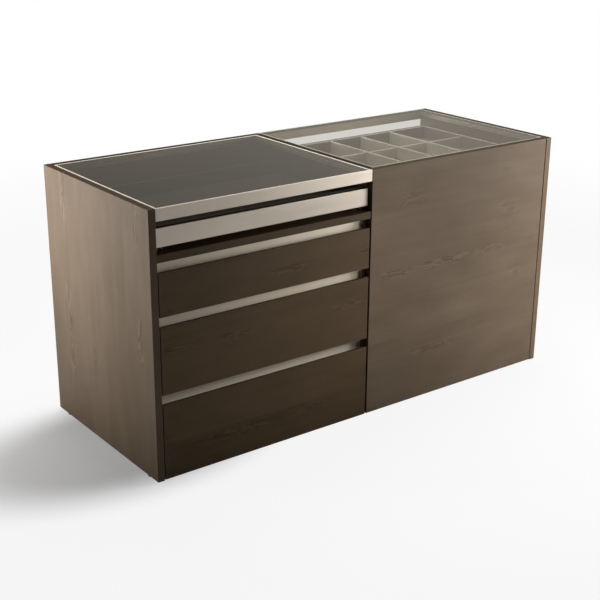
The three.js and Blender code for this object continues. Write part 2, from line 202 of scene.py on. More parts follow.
class Nodes:
    """A node tree, with short calls for the nodes that the finishes and the surround share."""

    def __init__(self, tree):
        self.tree = tree

    def node(self, kind, *values, **settings):
        """Adds a node, sets its settings, and links or sets its inputs in their order. None skips one."""
        made = self.tree.nodes.new(kind)
        for name, value in settings.items():
            setattr(made, name, value)
        for socket, value in zip(made.inputs, values):
            self.feed(socket, value)
        return made

    def feed(self, socket, value):
        if isinstance(value, bpy.types.NodeSocket):
            self.tree.links.new(value, socket)
        elif value is not None:
            socket.default_value = value

    def math(self, operation, *values, clamp=False):
        return self.node("ShaderNodeMath", *values, operation=operation, use_clamp=clamp).outputs[0]

    def vector(self, operation, *values):
        return self.node("ShaderNodeVectorMath", *values, operation=operation).outputs[0]

    def distance(self, first, second):
        return self.node("ShaderNodeVectorMath", first, second, operation="DISTANCE").outputs["Value"]

    def step(self, value, start, end, low=0.0, high=1.0):
        """A smooth step from low to high while the value goes from start to end."""
        made = self.node("ShaderNodeMapRange", value, start, end, low, high, interpolation_type="SMOOTHSTEP")
        return made.outputs[0]

    def noise(self, place, scales, detail, distortion=0.0):
        """Noise about 0, its grain stretched by a scale of its own along each axis, in cells per metre."""
        stretched = self.vector("MULTIPLY", place, scales)
        made = self.node("ShaderNodeTexNoise", stretched)
        made.inputs["Scale"].default_value = 1.0
        made.inputs["Detail"].default_value = detail
        made.inputs["Distortion"].default_value = distortion
        return self.math("SUBTRACT", made.outputs[0], 0.5)

    def cells(self, place, scale, feature):
        """Outputs of cell noise with a scale in cells per metre."""
        made = self.node("ShaderNodeTexVoronoi", place, feature=feature)
        made.inputs["Scale"].default_value = scale
        return made.outputs

    def line_pair(self, value, sharpness):
        """A light line beside a dark one where the value passes through zero, and nothing away from it."""
        steep = self.math("MULTIPLY", value, sharpness)
        stroke = self.math("MINIMUM", self.math("MAXIMUM", steep, -1.0), 1.0)
        return self.math("MULTIPLY", stroke, self.math("SUBTRACT", 1.0, self.math("ABSOLUTE", stroke)))

    def mix(self, kind, factor, first, second):
        """Two colours (RGBA) or two vectors (VECTOR), blended by a factor."""
        made = self.node("ShaderNodeMix", factor, data_type=kind)
        first_socket, second_socket, blend = MIX_SOCKETS[kind]
        self.feed(made.inputs[first_socket], first)
        self.feed(made.inputs[second_socket], second)
        return made.outputs[blend]

    def shades(self, tone, colour, low, high):
        """Shades of one colour, from its low share at tone 0 to its high share at tone 1."""
        return self.mix("RGBA", tone, opaque(colour, low), opaque(colour, high))

    def total(self, *terms):
        """The sum of terms, each a number, a value or a (weight, value) pair."""
        whole = None
        for term in terms:
            part = self.math("MULTIPLY", term[1], term[0]) if isinstance(term, tuple) else term
            whole = part if whole is None else self.math("ADD", whole, part)
        return whole

    def place(self):
        return self.node("ShaderNodeTexCoord").outputs["Object"]

    def parts(self, vector):
        made = self.node("ShaderNodeSeparateXYZ", vector)
        return dict(zip("xyz", made.outputs))

    def normal_parts(self):
        return self.parts(self.node("ShaderNodeNewGeometry").outputs["Normal"])

    def squareness(self, axis):
        """How squarely a face looks along an axis, one way or the other: its normal's part without a sign."""
        return self.math("ABSOLUTE", self.normal_parts()[axis])

    def join(self, *values):
        return self.node("ShaderNodeCombineXYZ", *values).outputs[0]

    def face_gaps(self, place, box):
        """How far a place in a box lies from the nearer face along each axis.

        That is half the box's size less the place's distance from the box's middle.
        """
        low, high = box
        middle = tuple((a + b) / 2 for a, b in zip(low, high))
        half = tuple((b - a) / 2 for a, b in zip(low, high))
        off = self.vector("ABSOLUTE", self.vector("SUBTRACT", place, middle))
        return self.parts(self.vector("SUBTRACT", half, off))

    def edge_distance(self, place, box):
        """How far a point of a box's surface lies from its nearest edge.

        Of its distances to the faces along the three axes the least is near zero, and the middle one is
        the distance to the edge.
        """
        gaps = self.face_gaps(place, box)
        low_pair = self.math("MINIMUM", gaps["x"], gaps["y"])
        high_pair = self.math("MAXIMUM", gaps["x"], gaps["y"])
        return self.math("MAXIMUM", low_pair, self.math("MINIMUM", high_pair, gaps["z"]))


class Finish(Nodes):
    """One material and the sockets of its shader."""

    def __init__(self, name):
        self.material = bpy.data.materials.new(name)
        self.material.use_nodes = True
        super().__init__(self.material.node_tree)
        self.surface = self.tree.nodes["Principled BSDF"]
        self.output = self.tree.nodes["Material Output"]

    def bump(self, height, distance):
        made = self.node("ShaderNodeBump")
        made.inputs["Distance"].default_value = distance
        self.feed(made.inputs["Height"], height)
        self.feed(self.surface.inputs["Normal"], made.outputs[0])

    def colour(self, value):
        self.set("Base Color", value)

    def set(self, name, value):
        self.feed(self.surface.inputs[name], value)


def opaque(colour, share=1.0):
    """A share of a colour, with its fourth value."""
    return (*(min(1.0, part * share) for part in colour), 1.0)


# Veneer: the figure's shifts from board to board and leaf to leaf, how far the grain bends, how far the
# chains of rays wander and reach, and the cosines past which a face counts as square to an axis
SEED_SHIFT = (3.71, 1.93, 0.57)
LEAF_SHIFT = 0.83
SLOW_BEND = 0.034
SMALL_BEND = 0.0026
CHAIN_WANDER = 0.05
CHAIN_REACH = (0.005, 0.023)
END_GRAIN_FACING = 0.7
BAND_FACING = (0.6, 0.8)


def veneer(name, grain, seed, leaf, rays, ray_weight, tones, painted_band_shares, settings, box):
    """Stained oak veneer on a board whose grain axes are given as (along, across, through).

    The tone is the sum of leaves of veneer laid side by side, slow clouds, growth lines bent by a slow
    noise, fine fibres and sparse wavy wisps, less the open pores, plus a paler line along each edge
    that is a painted highlight. A wisp is a light line beside a dark one, where a distorted noise passes
    through zero inside a few patches. Broken chains of shorter rays follow the grain at shares of the
    board's width. The narrow faces carry an edge band of painted light, whose tone is a share, one for
    the upright faces and one for the top, of the one halfway between the board's and the drawer fronts'
    painted-shade tone: painted shade below 1 and a painted highlight above it. On faces square to the
    grain the figure runs across.
    """
    f = Finish(name)
    place = f.place()
    axes = f.parts(place)
    along, across, through = (axes[letter] for letter in grain)
    end_grain = f.math("GREATER_THAN", f.squareness(grain[0]), END_GRAIN_FACING)
    turned = f.mix("VECTOR", end_grain, f.join(along, across, through), f.join(across, through, along))
    board = f.vector("ADD", turned, tuple(seed * part for part in SEED_SHIFT))
    run = f.parts(board)
    leaf_number = f.math("FLOOR", f.math("DIVIDE", run["y"], leaf))
    leaf_tone = f.node("ShaderNodeTexWhiteNoise", noise_dimensions="1D")
    f.feed(leaf_tone.inputs["W"], leaf_number)
    shifted = f.total(run["x"], (LEAF_SHIFT, leaf_number))
    straight = f.join(shifted, run["y"], run["z"])
    slow_wave = f.noise(straight, (1.1, 3.2, 3.2), 1.0)
    small_wave = f.noise(straight, (9.0, 26.0, 26.0), 2.0)
    bent = f.total(run["y"], (SLOW_BEND, slow_wave), (SMALL_BEND, small_wave))
    fibre = f.join(shifted, bent, run["z"])
    clouds = f.noise(fibre, (1.5, 5.0, 5.0), 2.0)
    mottle = f.noise(fibre, (5.0, 14.0, 14.0), 1.0)
    rings = f.noise(fibre, (0.55, 48.0, 48.0), 2.0)
    lines = f.noise(fibre, (2.2, 330.0, 330.0), 2.0)
    pores = f.step(f.noise(fibre, (26.0, 950.0, 950.0), 1.0), 0.07, 0.17)
    figure = f.noise(fibre, (6.5, 34.0, 34.0), 2.5, 1.3)
    patch = f.step(f.noise(board, (3.0, 8.0, 8.0), 1.0), 0.13, 0.24)
    wisp = f.math("MULTIPLY", f.line_pair(figure, 10.0), patch)
    flecks = f.line_pair(f.noise(fibre, (11.0, 68.0, 68.0), 3.0, 1.8), 7.0)
    broken = f.step(f.noise(board, (5.0, 2.0, 2.0), 1.0), -0.08, 0.08)
    wander = f.noise(board, (2.4, 1.0, 1.0), 2.0)
    width_axis = "xyz".index(grain[1])
    near, far = (corner[width_axis] for corner in box)
    chains = 0.0
    for share in rays:
        seat = near * (1 - share) + far * share
        off = f.math("ABSOLUTE", f.total(across, (CHAIN_WANDER, wander), -seat))
        chains = f.math("MAXIMUM", f.step(off, *CHAIN_REACH, 1.0, 0.0), chains)
    ray = f.math("MULTIPLY", flecks, f.math("MULTIPLY", chains, broken))
    # Painted highlight: a paler line along each edge of the board
    edge = f.step(f.edge_distance(place, box), 0.0, settings.painted_edge_highlight_width, 1.0, 0.0)
    tone = f.total(
        (0.12, f.math("SUBTRACT", leaf_tone.outputs["Value"], 0.5)), (0.85, clouds), (0.5, mottle),
        (0.28, rings), (0.2, lines), (-0.1, pores), (0.9, wisp), (ray_weight, ray), (0.2, edge), 0.48)
    stain = f.mix("RGBA", tone, *map(opaque, tones))
    # Painted shade: the darker copy of the stain that the drawer fronts carry
    painted_shade_stain = f.mix("RGBA", tone, opaque(settings.painted_shade_front_dark), opaque(settings.painted_shade_front_light))
    # Painted shade and painted highlight: the edge band's tone, by its share on upright and on top faces
    band = f.step(f.squareness("z"), *BAND_FACING, *painted_band_shares)
    painted_banded = f.vector("SCALE", f.mix("RGBA", 0.5, stain, painted_shade_stain), None, None, band)
    narrow = f.step(f.squareness(grain[2]), *BAND_FACING, 1.0, 0.0)
    f.colour(f.mix("RGBA", narrow, stain, painted_banded))
    f.set("Roughness", f.total((0.22, lines), (0.12, pores), (0.15, clouds), settings.roughness))
    f.set("Specular IOR Level", settings.gloss)
    f.bump(f.total((0.3, lines), (-0.4, pores), (0.5, wisp)), settings.relief)
    return f.material


def dress(node, material):
    """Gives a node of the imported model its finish."""
    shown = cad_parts[node]
    if not shown.material_slots:
        shown.data.materials.append(material)
    for holder in shown.material_slots:
        holder.material = material


# Meshes

WELD = 0.000002
SMOOTH_ANGLE = 30.0


def rounded(corners, steps):
    """Closed outline from corners (a, b, cut), each turned into a quadratic curve.

    The curve starts at the cut's length before the corner and ends as far after it, so a point of it is
    (1-t)^2 times the start, plus 2t(1-t) times the corner, plus t^2 times the end.
    """
    values = np.array(corners)
    turns, cuts = values[:, :2], values[:, 2:]
    before = np.roll(turns, 1, axis=0) - turns
    after = np.roll(turns, -1, axis=0) - turns
    starts = turns + before * cuts / np.linalg.norm(before, axis=1, keepdims=True)
    ends = turns + after * cuts / np.linalg.norm(after, axis=1, keepdims=True)
    t = np.linspace(0.0, 1.0, steps + 1)[None, :, None]
    curves = (1 - t) ** 2 * starts[:, None] + 2 * t * (1 - t) * turns[:, None] + t ** 2 * ends[:, None]
    return curves.reshape(-1, 2)


def rounded_rectangle(low, high, inset, cut, steps):
    """Outline of a box from above, drawn in by an inset, its four corners rounded."""
    x0, x1, y0, y1 = low.x + inset, high.x - inset, low.y + inset, high.y - inset
    return rounded([(x, y, cut) for x, y in ((x0, y0), (x1, y0), (x1, y1), (x0, y1))], steps)


def swept(outline, start, end):
    """An outline (y, z) carried along x from start to end: its points at both ends, sides and two caps."""
    count = len(outline)
    rings = np.concatenate([np.column_stack([np.full(count, x), outline]) for x in (start, end)])
    first = np.arange(count)
    second = np.roll(first, -1)
    sides = np.column_stack([first, second, second + count, first + count]).tolist()
    return rings, [*sides, first.tolist(), (first + count).tolist()]


def grid_faces(rows, columns):
    """Quads between the rows of a grid, each of which runs on from its end to its start."""
    row = np.arange(rows - 1)[:, None] * columns
    column = np.arange(columns)[None, :]
    after = (column + 1) % columns
    quads = (row + column, row + after, row + columns + after, row + columns + column)
    return np.stack(quads, axis=-1).reshape(-1, 4).tolist()


def piece(name, places, faces, material, body, smooth_angle=SMOOTH_ANGLE):
    """A piece from an array of places and a list of faces, smooth but for edges past an angle.

    Points that share a place are welded, so a ring drawn in to one point closes a pole.
    """
    mesh = bpy.data.meshes.new(name)
    mesh.from_pydata(places.tolist(), [], faces)
    shell = bmesh.new()
    shell.from_mesh(mesh)
    bmesh.ops.remove_doubles(shell, verts=shell.verts, dist=WELD)
    bmesh.ops.recalc_face_normals(shell, faces=shell.faces)
    shell.to_mesh(mesh)
    shell.free()
    mesh.shade_smooth()
    mesh.set_sharp_from_angle(angle=math.radians(smooth_angle))
    made = bpy.data.objects.new(name, mesh)
    bpy.context.scene.collection.objects.link(made)
    made.data.materials.append(material)
    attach(made, body)
    return made


def open_and_back(side, low, high):
    """The y of a box's face on its module's open side, and of the face behind it."""
    return (low.y, high.y) if side == "left" else (high.y, low.y)


# Stage

# Camera's place in metres, its turn in degrees and its sensor in millimetres
CAMERA_PLACE = (-2.5089, -3.27, 1.8435)
CAMERA_TURN = (69.9165, -0.375, -36.8493)
CAMERA_SENSOR = 36.0
FLOOR_REACH = 14.0
FLOOR_PAINTS = ((0.8, 0.8, 0.8, 1.0), (0.83, 0.83, 0.83, 1.0))
# Patch of the floor that keeps the shadow: its stretch, middle and rim, and the lit paint's share in and
# outside it
SHADE_STRETCH = (0.6, 1.0, 1.0)
SHADE_MIDDLE = (-0.51, -0.02, 0.0)
SHADE_FADE = (0.2, 0.45)
SHADE_SHARES = (0.75, 0.12)
# Distance over which the floor turns white, and what gloss sees of its white along y and x
FLOOR_FADE = (1.6, 4.5)
MIRRORED_FLOOR = (-1.0, 1.0, 0.2, 1.0)
MIRRORED_RIGHT = (0.6, 1.7, 0.0, 0.25)
# Directions between which the mirrored wall begins, along y, and changes from end to end, along x
STUDIO_TO_WALL = (-0.3, 0.5)
WALL_ENDS = (0.35, 0.75)
WALL_PAINT = (1.0, 0.93, 0.8, 1.0)
# Each lamp's place, the point that it looks at, its size and spread, and whether gloss mirrors it
LAMPS = {
    "right": ((1.5, -1.2, 0.9), (0.4, -0.35, 0.5), 0.7, 180.0, True),
    "front": ((0.6, -1.3, 1.0), (-0.13, -0.35, 0.65), 0.35, 50.0, True),
    "left": ((-2.6, 1.25, 0.8), (-0.87, 0.34, 0.9), 0.75, 60.0, True),
    "overhead": ((0.35, 0.9, 3.0), (0.35, 0.9, 0.0), 2.2, 180.0, False),
}


def lamp(name, place, target, size, spread, mirrored, power):
    """A square lamp at a place, looking at a target."""
    light = bpy.data.lights.new(name, "AREA")
    light.size = size
    light.energy = power
    light.spread = math.radians(spread)
    made = bpy.data.objects.new(name, light)
    bpy.context.scene.collection.objects.link(made)
    made.location = place
    made.visible_camera = False
    made.visible_glossy = mirrored
    look = np.array(target) - np.array(place)
    flat = math.hypot(look[0], look[1])
    made.rotation_euler = (math.atan2(flat, -look[2]), 0.0, math.atan2(look[1], look[0]) - math.pi / 2)


def floor_finish():
    """Pale floor: lit paint that keeps the shadow, seen ever whiter away from the object.

    Gloss mirrors its white away from the object: in full behind it, dimly before it, and a little more
    beside its right end.
    """
    f = Finish("pale_floor")
    place = f.place()
    axes = f.parts(place)
    grain = f.noise(place, (40.0, 40.0, 40.0), 3.0)
    f.colour(f.mix("RGBA", f.math("ADD", grain, 0.5), *FLOOR_PAINTS))
    f.set("Roughness", 0.9)
    f.set("Specular IOR Level", 0.0)
    path = f.node("ShaderNodeLightPath").outputs
    away = f.step(f.distance(place, (0.0, 0.0, 0.0)), *FLOOR_FADE)
    from_shade = f.distance(f.vector("MULTIPLY", place, SHADE_STRETCH), SHADE_MIDDLE)
    lit = f.math("MULTIPLY", f.step(from_shade, *SHADE_FADE, *SHADE_SHARES), f.math("SUBTRACT", 1.0, away))
    direct = f.math("MAXIMUM", path["Is Camera Ray"], path["Is Transmission Ray"])
    shown = f.math("MULTIPLY", direct, f.math("SUBTRACT", 1.0, lit))
    rear = f.step(axes["y"], *MIRRORED_FLOOR)
    brightness = f.math("ADD", rear, f.step(axes["x"], *MIRRORED_RIGHT), clamp=True)
    mirrored = f.math("MULTIPLY", path["Is Glossy Ray"], f.math("MULTIPLY", away, brightness))
    white = f.node("ShaderNodeEmission").outputs[0]
    mixed = f.node("ShaderNodeMixShader", f.math("MAXIMUM", shown, mirrored), f.surface.outputs[0], white)
    f.feed(f.output.inputs["Surface"], mixed.outputs[0])
    return f.material


def surround(settings):
    """World that is white to the camera and through glass, and plain light otherwise.

    Gloss mirrors a pale wall behind the object, dimmer at its left end, which fades towards the darker
    studio in front of it.
    """
    world = bpy.data.worlds.new("studio_surround")
    bpy.context.scene.world = world
    world.use_nodes = True
    w = Nodes(world.node_tree)
    shown = w.tree.nodes["Background"]
    path = w.node("ShaderNodeLightPath").outputs
    look = w.parts(w.node("ShaderNodeTexCoord").outputs["Generated"])
    seen = w.math("MAXIMUM", path["Is Camera Ray"], path["Is Transmission Ray"])
    length = w.step(look["x"], *WALL_ENDS, settings.mirrored_left, settings.mirrored)
    wall = w.step(look["y"], *STUDIO_TO_WALL, settings.studio, length)
    mirrored = w.math("MULTIPLY", path["Is Glossy Ray"], wall)
    strength = w.math("MAXIMUM", w.math("MAXIMUM", seen, mirrored), settings.sky)
    w.feed(shown.inputs["Strength"], strength)
    w.feed(shown.inputs["Color"], w.mix("RGBA", path["Is Glossy Ray"], WHITE, WALL_PAINT))


class ISLAND_OT_stage(bpy.types.Operator):
    """Adds the pale floor, the studio lamps, the surround and the camera"""

    bl_idname = "island.stage"
    bl_label = "Stage"

    def execute(self, context):
        settings = context.scene.island.stage
        context.scene.view_settings.view_transform = "Standard"
        corners = FLOOR_REACH * np.array([(-1, -1, 0), (1, -1, 0), (1, 1, 0), (-1, 1, 0)])
        mesh = bpy.data.meshes.new("floor")
        mesh.from_pydata(corners.tolist(), [], [(0, 1, 2, 3)])
        floor = bpy.data.objects.new("floor", mesh)
        context.scene.collection.objects.link(floor)
        floor.data.materials.append(floor_finish())
        for name, (place, target, size, spread, mirrored) in LAMPS.items():
            lamp(f"{name}_lamp", place, target, size, spread, mirrored, getattr(settings, name))
        surround(settings)
        camera = bpy.data.objects.new("camera", bpy.data.cameras.new("camera"))
        context.scene.collection.objects.link(camera)
        camera.data.lens = settings.lens
        camera.data.sensor_width = CAMERA_SENSOR
        camera.location = CAMERA_PLACE
        camera.rotation_euler = tuple(math.radians(turn) for turn in CAMERA_TURN)
        context.scene.camera = camera
        return {"FINISHED"}


# Boards

# For each board: its grain axes, the width of a leaf of veneer, the shares of its width that carry
# chains of rays, and the tones of its upright and its top edge band as shares of the tone halfway
# between its faces' and the drawer fronts', painted shade below 1 and a painted highlight above it.
# Those in PAINTED_SHADE_BOARDS, the drawer fronts among them, get a darker copy of the veneer as painted
# shade.
PANELS = {
    "end_panel_left": ("zyx", 0.145, (0.11, 0.8), (0.78, 0.5)),
    "end_panel_right": ("zyx", 0.145, (0.3, 0.86), (1.25, 0.45)),
    "centre_partition": ("zyx", 0.145, (0.4,), (0.2, 0.2)),
    "blank_panel_left": ("xzy", 0.31, (0.38, 0.74), (0.5, 0.25)),
    "blank_panel_right": ("xzy", 0.31, (0.57, 0.21), (0.5, 0.5)),
}
PAINTED_SHADE_BOARDS = {
    **{f"tray_shelf_{side}": ("xyz", 0.2, (0.5,), (0.84, 1.0)) for side in SIDES},
    **{f"bottom_panel_{side}": ("xyz", 0.2, (0.5,), (1.0, 1.0)) for side in SIDES},
    **{f"drawer_{level}_front_{side}": ("xzy", 0.29, (share,), (1.0, 1.0))
       for level, share in zip(LEVELS, (0.36, 0.62, 0.45)) for side in SIDES},
}
# Weights of the chains of rays in the tone of the end panels, the other panels and the fronts
END_RAYS = 2.6
PANEL_RAYS = 1.8
FRONT_RAYS = 1.5


class ISLAND_OT_boards(bpy.types.Operator):
    """Veneers the carcass boards and the drawer fronts"""

    bl_idname = "island.boards"
    bl_label = "Veneered boards"

    def execute(self, context):
        settings = context.scene.island.veneer
        for seed, (node, (grain, leaf, rays, painted_band_shares)) in enumerate({**PANELS, **PAINTED_SHADE_BOARDS}.items(), start=1):
            tones, ray_weight = (settings.dark, settings.light), PANEL_RAYS
            if node.startswith("end_panel"):
                ray_weight = END_RAYS
            # Painted shade: these boards take the darker copy of the veneer
            if node in PAINTED_SHADE_BOARDS:
                tones, ray_weight = (settings.painted_shade_front_dark, settings.painted_shade_front_light), FRONT_RAYS
            dress(node, veneer(
                f"veneer_{node}", grain, seed, leaf, rays, ray_weight, tones, painted_band_shares, settings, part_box(node)))
        return {"FINISHED"}


# Metal

CHANNEL_ROUGHNESS = 0.45
# Mitred frames: how much less of a metal the bead-blasted faces are, the tone of each frame's top as a
# share, painted light that is a painted highlight on the left frame and painted shade on the right one,
# the cosines past which a face counts as one, and the joint's half width, share and colour
RIM_BLASTED = 0.85
PAINTED_RIM_LIGHT_SHARES = {"left": 1.5, "right": 0.7}
BLASTED_FACING = (0.5, 0.8)
MITRE_WIDTH = (0.00012, 0.0003)
MITRE_SHARE = 0.25
MITRE_SHADE = (0.05, 0.045, 0.04, 1.0)
# Sheets and profiles: thickness, bends and eased edges, and the steps that each curve is drawn in
GRIP_SHEET = 0.0018
GRIP_WELL_BEND = 0.013
GRIP_LIP_BEND = 0.007
SHEET_EASE = 0.0003
BEND_STEPS = 16
PROFILE_WALL = 0.0022
PROFILE_HOLLOW = 0.03
PROFILE_STEP = 0.008
PROFILE_EASE = 0.0006
EASE_STEPS = 4
FLAT_FACETS = 5.0


def satin_metal(name, colour, roughness, metal, box=None, rim=1.0):
    """Anodised aluminium, finely brushed along x; on a mitred frame, given by its box, along each rail.

    A rail of the frame runs along x where the point lies nearer to the frame's y faces than to its x
    faces, and a hair-thin dark joint shows where the two are as far. The frame's top and its side webs
    are bead-blasted, so they scatter more light than the brushed faces do, and the top's tone is the
    colour's times the rim's share: a painted highlight where that share is above 1, and painted shade
    where it is below.
    """
    f = Finish(name)
    brushed = place = f.place()
    if box:
        axes = f.parts(place)
        gaps = f.face_gaps(place, box)
        lead = f.math("SUBTRACT", gaps["x"], gaps["y"])
        side_rail = f.math("LESS_THAN", lead, 0.0)
        brushed = f.mix("VECTOR", side_rail, place, f.join(axes["y"], axes["x"], axes["z"]))
    hairs = f.noise(brushed, (5.0, 2600.0, 2600.0), 2.0)
    drift = f.noise(brushed, (2.0, 30.0, 30.0), 2.0)
    tint = f.shades(f.total((0.8, hairs), (0.9, drift), 0.5), colour, 0.93, 1.06)
    if box:
        joint = f.step(f.math("ABSOLUTE", lead), *MITRE_WIDTH, MITRE_SHARE, 0.0)
        top = f.step(f.normal_parts()["z"], *BLASTED_FACING)
        web = f.step(f.squareness("x"), *BLASTED_FACING)
        joined = f.mix("RGBA", joint, tint, MITRE_SHADE)
        # Painted light on the frame's top: its tone times the rim's share, a painted highlight above 1 and
        # painted shade below
        tint = f.vector("SCALE", joined, None, None, f.total((rim - 1.0, top), 1.0))
        metal = f.total((-RIM_BLASTED, f.math("MAXIMUM", top, web)), metal)
    f.colour(tint)
    f.set("Metallic", metal)
    f.set("Roughness", f.total((0.12, hairs), (0.1, drift), roughness))
    f.bump(hairs, 0.00003)
    return f.material


def grip_channel(side, level, material):
    """Grip channel: the outline of a J-shaped sheet, open to the front, carried along the module.

    Its points are measured from the node's box: down from the lip and up from the well, by the sheet's
    thickness, with the bends drawn as quadratic curves.
    """
    node = f"grip_profile_{side}_{level}"
    low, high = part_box(node)
    lip, back = open_and_back(side, low, high)
    sheet = GRIP_SHEET
    face = back - INWARD[side] * sheet
    corners = (
        (lip, low.z, SHEET_EASE), (back, low.z, GRIP_WELL_BEND + sheet),
        (back, high.z, GRIP_LIP_BEND + sheet), (lip, high.z, SHEET_EASE),
        (lip, high.z - sheet, SHEET_EASE), (face, high.z - sheet, GRIP_LIP_BEND),
        (face, low.z + sheet, GRIP_WELL_BEND), (lip, low.z + sheet, SHEET_EASE))
    places, faces = swept(rounded(corners, BEND_STEPS), low.x, high.x)
    made = piece(f"grip_channel_{side}_{level}", places, faces, material, "root")
    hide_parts(node)


def tray_front_profile(side, material):
    """Tray front: the outline of a hollow profile, open along its top, carried along the tray.

    The outline goes round the outer rectangle and down into the hollow, with its edges eased by curves.
    The back wall ends lower than the front one.
    """
    node = f"tray_front_{side}"
    low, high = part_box(node)
    face, back = open_and_back(side, low, high)
    front_wall = face + INWARD[side] * PROFILE_WALL
    back_wall = back - INWARD[side] * PROFILE_WALL
    foot = high.z - PROFILE_HOLLOW
    back_top = high.z - PROFILE_STEP
    corners = (
        (face, low.z, PROFILE_EASE), (back, low.z, PROFILE_EASE), (back, back_top, SHEET_EASE),
        (back_wall, back_top, SHEET_EASE), (back_wall, foot, PROFILE_EASE), (front_wall, foot, PROFILE_EASE),
        (front_wall, high.z, SHEET_EASE), (face, high.z, PROFILE_EASE))
    places, faces = swept(rounded(corners, EASE_STEPS), low.x, high.x)
    made = piece(
        f"tray_front_profile_{side}", places, faces, material, f"tray_{side}", FLAT_FACETS)
    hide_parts(node)


class ISLAND_OT_metalwork(bpy.types.Operator):
    """Finishes the top frames, the tray fronts and the grip channels in champagne aluminium"""

    bl_idname = "island.metalwork"
    bl_label = "Champagne metalwork"

    def execute(self, context):
        settings = context.scene.island.metal
        colour, roughness = settings.champagne, settings.champagne_roughness
        rail = satin_metal("champagne_rail", colour, roughness, 1.0)
        # The grip channels' lighter champagne is a painted highlight
        channel = satin_metal(
            "champagne_channel", settings.channel, CHANNEL_ROUGHNESS, settings.channel_metal)
        for side in SIDES:
            top = f"top_frame_{side}"
            frame_metal = satin_metal(
                f"champagne_{top}", colour, roughness, 1.0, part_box(top), PAINTED_RIM_LIGHT_SHARES[side])
            dress(top, frame_metal)
            tray_front_profile(side, rail)
            for level in LEVELS:
                grip_channel(side, level, channel)
        return {"FINISHED"}


# Glass

# Rubber strip: its section, its play under the glass and its rounded corners
SEAL_INSET = 0.0006
SEAL_WIDTH = 0.0098
SEAL_HEIGHT = 0.00022
SEAL_PLAY = 0.00004
SEAL_CORNER = 0.001
SEAL_CORNER_STEPS = 6
# Cosines past which a face of the glass isn't its edge
GLASS_FACING = (0.5, 0.9)


def tinted_glass(settings):
    """Tinted float glass: see-through tint mixed with a mirror by Fresnel on its outer faces only."""
    f = Finish("tinted_glass")
    flat_face = f.step(f.squareness("z"), *GLASS_FACING)
    film = f.noise(f.place(), (7.0, 7.0, 7.0), 3.0)
    smear = f.noise(f.place(), (60.0, 9.0, 9.0), 2.0)
    clear = f.mix("RGBA", flat_face, opaque(settings.edge_tint), opaque(settings.tint))
    cloudy = f.mix("RGBA", f.math("ADD", film, 0.5), clear, opaque(settings.tint, 0.985))
    through = f.node("ShaderNodeBsdfTransparent", f.mix("RGBA", flat_face, clear, cloudy))
    mirror = f.node("ShaderNodeBsdfAnisotropic", distribution="GGX")
    f.feed(mirror.inputs["Color"], WHITE)
    f.feed(mirror.inputs["Roughness"], f.total((0.03, film), (0.02, smear), 0.03))
    fresnel = f.node("ShaderNodeFresnel", settings.bend).outputs[0]
    outer = f.math("SUBTRACT", 1.0, f.node("ShaderNodeNewGeometry").outputs["Backfacing"])
    mixed = f.node("ShaderNodeMixShader", f.math("MULTIPLY", fresnel, outer), through.outputs[0],
                   mirror.outputs[0])
    f.feed(f.output.inputs["Surface"], mixed.outputs[0])
    f.tree.nodes.remove(f.surface)
    return f.material


def glass_seal(side, material):
    """Rubber strip on the frame's ledge: its section is a rectangle, carried round under the glass's rim.

    Each of the section's corners becomes a rounded rectangle at its own inset, and quads join the four.
    """
    low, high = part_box(f"glass_top_{side}")
    bottom = low.z - SEAL_HEIGHT - SEAL_PLAY
    top = bottom + SEAL_HEIGHT
    inner = SEAL_INSET + SEAL_WIDTH
    section = ((SEAL_INSET, bottom), (inner, bottom), (inner, top), (SEAL_INSET, top))
    rings = []
    for inset, level in section:
        ring = rounded_rectangle(low, high, inset, SEAL_CORNER, SEAL_CORNER_STEPS)
        rings.append(np.column_stack([ring, np.full(len(ring), level)]))
    places = np.concatenate(rings)
    faces = np.array(grid_faces(len(section) + 1, len(rings[0]))) % len(places)
    piece(f"glass_seal_{side}", places, faces.tolist(), material, "root")


class ISLAND_OT_glass(bpy.types.Operator):
    """Gives the two tops their tinted glass, laid on a dark rubber strip"""

    bl_idname = "island.glass"
    bl_label = "Glass tops"

    def execute(self, context):
        settings = context.scene.island.glass
        glass = tinted_glass(settings)
        rubber = moulded_plastic("seal_rubber", settings.seal)
        for side in SIDES:
            dress(f"glass_top_{side}", glass)
            glass_seal(side, rubber)
        return {"FINISHED"}


# Linings

# Mats: corners, steps along a side, rings to the middle, the soft edge, and the slow wave of the top
MAT_CORNER = 0.004
MAT_CORNER_STEPS = 5
MAT_SIDE_STEPS = 8
MAT_RINGS = 14
MAT_EDGE_STEPS = 7
MAT_WAVE = 0.0002
MAT_WAVE_TURNS = (9.0, 13.0)
MAT_SMOOTH_ANGLE = 60.0
FELT_SHEEN = {"left": 0.03, "right": 0.25}
# Leather look: size of a pebble, the shades, and the cosines past which a face carries the piping
DIVIDER_PEBBLE = 0.0014
TRAY_PEBBLE = 0.0016
LEATHER_SHADES = (0.86, 1.1)
PIPING_FACING = (0.3, 0.7)


